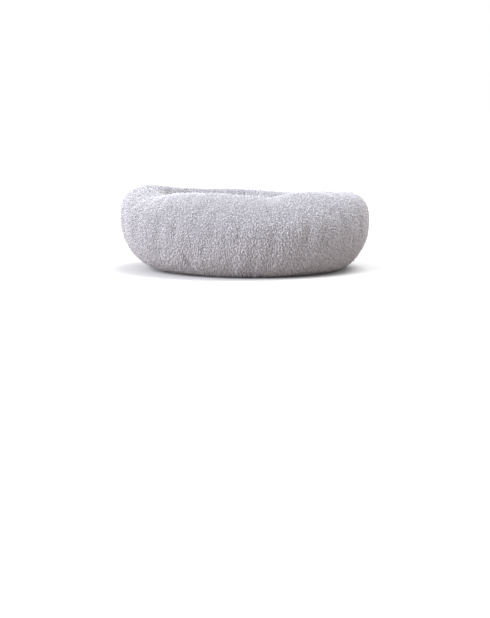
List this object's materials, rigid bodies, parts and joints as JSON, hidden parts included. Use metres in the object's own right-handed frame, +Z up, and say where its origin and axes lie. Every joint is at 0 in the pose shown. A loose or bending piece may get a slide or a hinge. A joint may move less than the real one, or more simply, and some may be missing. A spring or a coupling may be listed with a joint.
{
  "type": "donut pet bed",
  "caption": "Round plush pet bed: a thick stuffed ring with soft puckers round a domed sleeping cushion in an open well.",
  "frame": {"origin": "on the floor, under the middle of the bed, at the centre of the cushion's flat underside", "axes": "+Z up; -Y towards the front of the bed, the side seen in the picture; +X to the right of that view"},
  "size_m": [0.4998, 0.4961, 0.1693],
  "materials": {
    "plush_cover": "soft curled plush pile, matte"
  },
  "bodies": {
    "root": {"bolster": "plush_cover", "centre_cushion": "plush_cover"}
  },
  "joints": []
}
